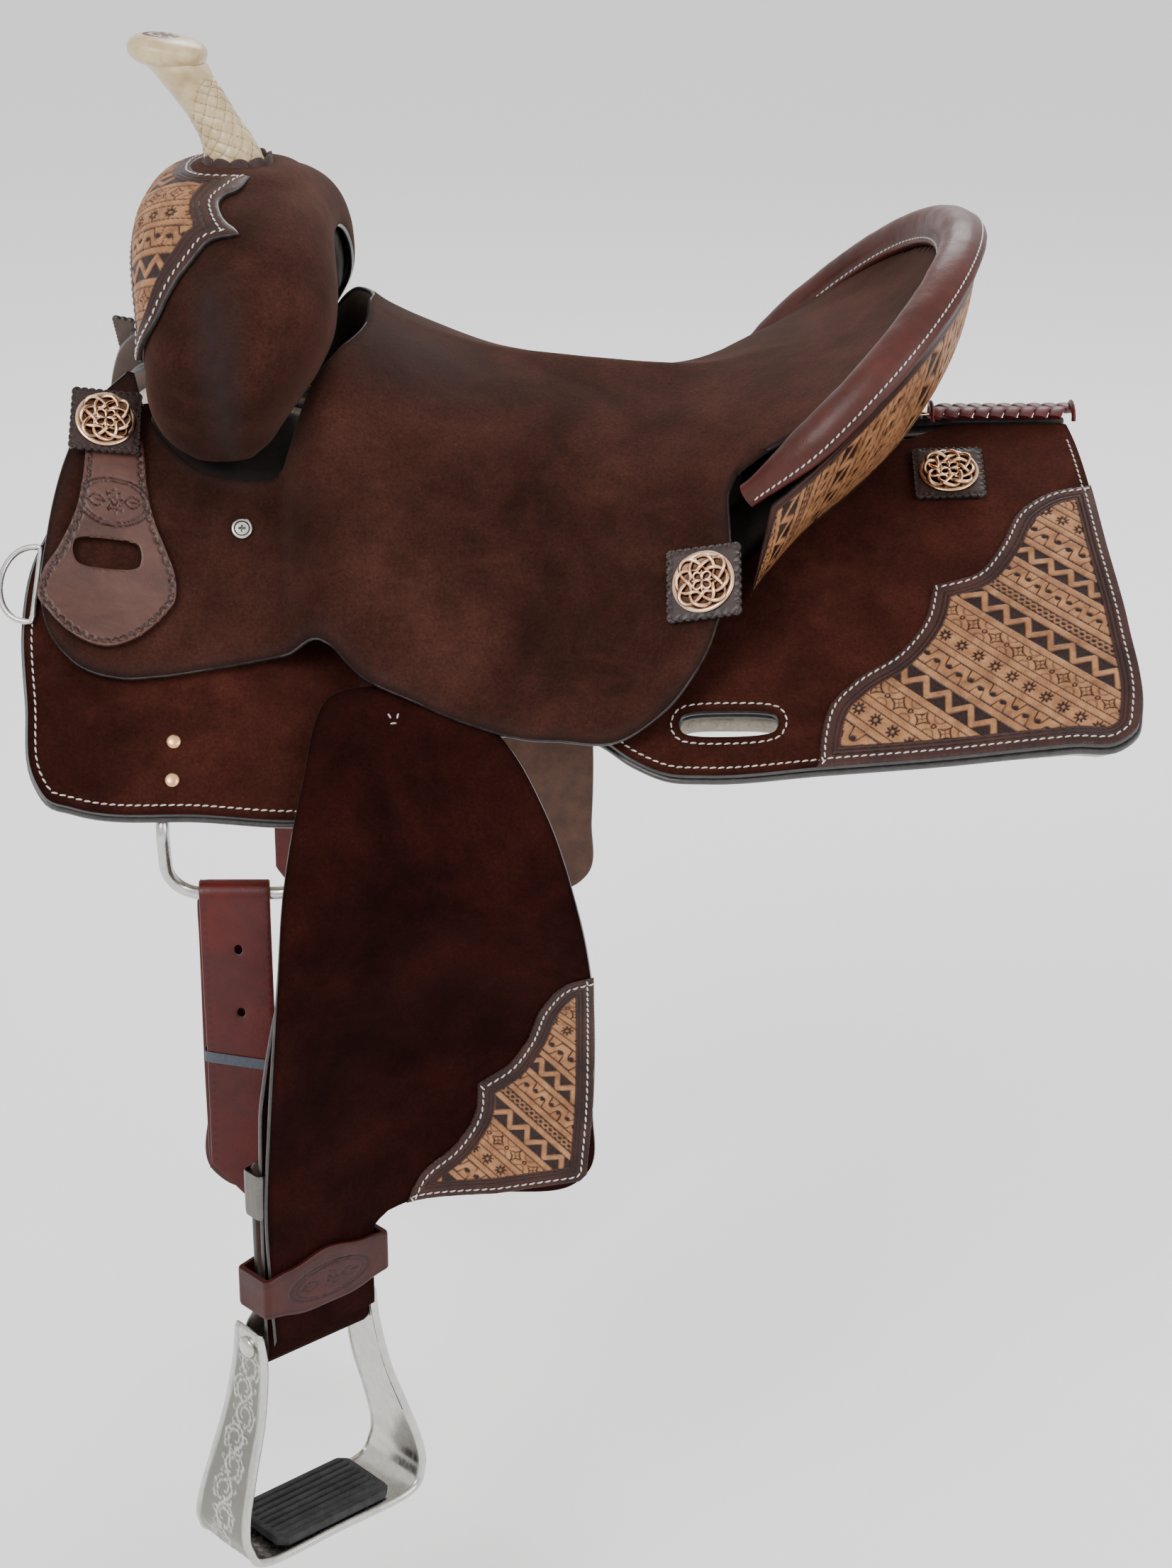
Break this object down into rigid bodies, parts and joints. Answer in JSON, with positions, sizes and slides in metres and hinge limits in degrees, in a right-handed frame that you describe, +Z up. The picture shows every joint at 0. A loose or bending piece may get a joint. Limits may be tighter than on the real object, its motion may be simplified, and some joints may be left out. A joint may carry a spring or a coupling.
{
  "type": "western saddle",
  "caption": "Leather riding saddle with horn, fork, deep seat, skirts, swinging fenders and stirrups, cinch dees and latigo.",
  "frame": {"origin": "on the ridge line where the saddle rests on a horse's back or rack, middle of its length", "axes": "+Z up, horn towards -X, cantle towards +X, near (left) side towards -Y"},
  "size_m": [0.6878, 0.6758, 0.8984],
  "materials": {
    "roughout_leather": "brown roughout",
    "smooth_leather": "smooth, oiled",
    "tooled_leather": "tooled relief",
    "burgundy_leather": "latigo, waxed",
    "keeper_leather": "stamped",
    "fleece": "woolly",
    "tree_rawhide": "rawhide covered",
    "rawhide": "braided rawhide",
    "stainless": "brushed",
    "aluminium": "engraved",
    "antique_copper": "antiqued",
    "black_rubber": "ribbed"
  },
  "bodies": {
    "saddle": {"bar_loop_left": "roughout_leather", "bar_loop_right": "roughout_leather", "cantle_back": "tooled_leather", "cantle_roll": "smooth_leather", "concho_cantle_left": "antique_copper", "concho_cantle_right": "antique_copper", "concho_front_left": "antique_copper", "concho_front_right": "antique_copper", "concho_rear_left": "antique_copper", "concho_rear_right": "antique_copper", "fleece_left": "fleece", "fleece_right": "fleece", "ground_seat": "tree_rawhide", "gullet_cover": "tooled_leather", "horn_cap": "rawhide", "horn_post": "stainless", "horn_wrap": "rawhide", "jockey_screw_left": "stainless", "jockey_screw_right": "stainless", "rigging_dee_left": "stainless", "rigging_dee_right": "stainless", "rosette_cantle_left": "keeper_leather", "rosette_cantle_right": "keeper_leather", "rosette_front_left": "keeper_leather", "rosette_front_right": "keeper_leather", "rosette_rear_left": "keeper_leather", "rosette_rear_right": "keeper_leather", "seat_leather": "roughout_leather", "skirt_braid": "burgundy_leather", "skirt_left": "roughout_leather", "skirt_right": "roughout_leather", "swell_cover": "roughout_leather", "tree_bar_left": "tree_rawhide", "tree_bar_right": "tree_rawhide", "tree_cantle": "tree_rawhide", "tree_fork": "tree_rawhide"},
    "leather_root_left": {"leather_root_left": "roughout_leather"},
    "fender_left": {"fender_left": "roughout_leather", "stirrup_leather_left": "roughout_leather", "buckle_plate_left": "stainless", "hobble_strap_left": "smooth_leather"},
    "buckle_sleeve_left": {"buckle_sleeve_left": "stainless"},
    "stirrup_left": {"stirrup_left": "aluminium", "stirrup_tread_left": "black_rubber", "stirrup_bolt_left": "stainless"},
    "latigo_left": {"latigo_left": "burgundy_leather"},
    "breast_dee_left": {"breast_dee_left": "stainless"},
    "latigo_keeper_left": {"latigo_keeper_left": "keeper_leather"},
    "leather_root_right": {"leather_root_right": "roughout_leather"},
    "fender_right": {"fender_right": "roughout_leather", "stirrup_leather_right": "roughout_leather", "buckle_plate_right": "stainless", "hobble_strap_right": "smooth_leather"},
    "buckle_sleeve_right": {"buckle_sleeve_right": "stainless"},
    "stirrup_right": {"stirrup_right": "aluminium", "stirrup_tread_right": "black_rubber", "stirrup_bolt_right": "stainless"},
    "off_billet_right": {"off_billet_right": "burgundy_leather"},
    "breast_dee_right": {"breast_dee_right": "stainless"},
    "latigo_keeper_right": {"latigo_keeper_right": "keeper_leather"}
  },
  "joints": [
    {"name": "fender_lift_left", "type": "hinge", "parent": "saddle", "child": "leather_root_left", "pos_m": [-0.115, -0.207, -0.094], "axis": [-1, 0, 0], "range_deg": [0, 40]},
    {"name": "fender_swing_left", "type": "hinge", "parent": "leather_root_left", "child": "fender_left", "pos_m": [-0.115, -0.207, -0.094], "axis": [0, 0.9781, -0.2079], "range_deg": [-20, 15]},
    {"name": "buckle_slide_left", "type": "slide", "parent": "fender_left", "child": "buckle_sleeve_left", "axis": [0, 0, 1], "range_m": [0, 0.026]},
    {"name": "stirrup_swing_left", "type": "hinge", "parent": "fender_left", "child": "stirrup_left", "pos_m": [-0.17521, -0.26897, -0.475], "axis": [0.7431, 0.6691, 0], "range_deg": [-60, 60]},
    {"name": "latigo_swing_left", "type": "hinge", "parent": "saddle", "child": "latigo_left", "pos_m": [-0.2105, -0.222, -0.202], "axis": [-1, 0, 0], "range_deg": [-45, 0]},
    {"name": "breast_dee_swing_left", "type": "hinge", "parent": "saddle", "child": "breast_dee_left", "pos_m": [-0.33347, -0.15772, -0.0256], "axis": [0.0618, 0.6664, 0.7431], "range_deg": [0, 45]},
    {"name": "keeper_turn_left", "type": "hinge", "parent": "saddle", "child": "latigo_keeper_left", "pos_m": [-0.2965, -0.096, 0.05478], "axis": [0.1941, -0.6874, 0.6999], "range_deg": [-6, 6]},
    {"name": "fender_lift_right", "type": "hinge", "parent": "saddle", "child": "leather_root_right", "pos_m": [-0.115, 0.207, -0.094], "axis": [1, 0, 0], "range_deg": [0, 40]},
    {"name": "fender_swing_right", "type": "hinge", "parent": "leather_root_right", "child": "fender_right", "pos_m": [-0.115, 0.207, -0.094], "axis": [0, 0.9781, 0.2079], "range_deg": [-20, 15]},
    {"name": "buckle_slide_right", "type": "slide", "parent": "fender_right", "child": "buckle_sleeve_right", "axis": [0, 0, 1], "range_m": [0, 0.026]},
    {"name": "stirrup_swing_right", "type": "hinge", "parent": "fender_right", "child": "stirrup_right", "pos_m": [-0.17521, 0.26897, -0.475], "axis": [0.7431, -0.6691, 0], "range_deg": [-60, 60]},
    {"name": "off_billet_swing_right", "type": "hinge", "parent": "saddle", "child": "off_billet_right", "pos_m": [-0.2105, 0.222, -0.202], "axis": [1, 0, 0], "range_deg": [-45, 0]},
    {"name": "breast_dee_swing_right", "type": "hinge", "parent": "saddle", "child": "breast_dee_right", "pos_m": [-0.33347, 0.15772, -0.0256], "axis": [-0.0618, 0.6664, -0.7431], "range_deg": [0, 45]},
    {"name": "keeper_turn_right", "type": "hinge", "parent": "saddle", "child": "latigo_keeper_right", "pos_m": [-0.2965, 0.096, 0.05478], "axis": [0.1941, 0.6874, 0.6999], "range_deg": [-6, 6]}
  ]
}
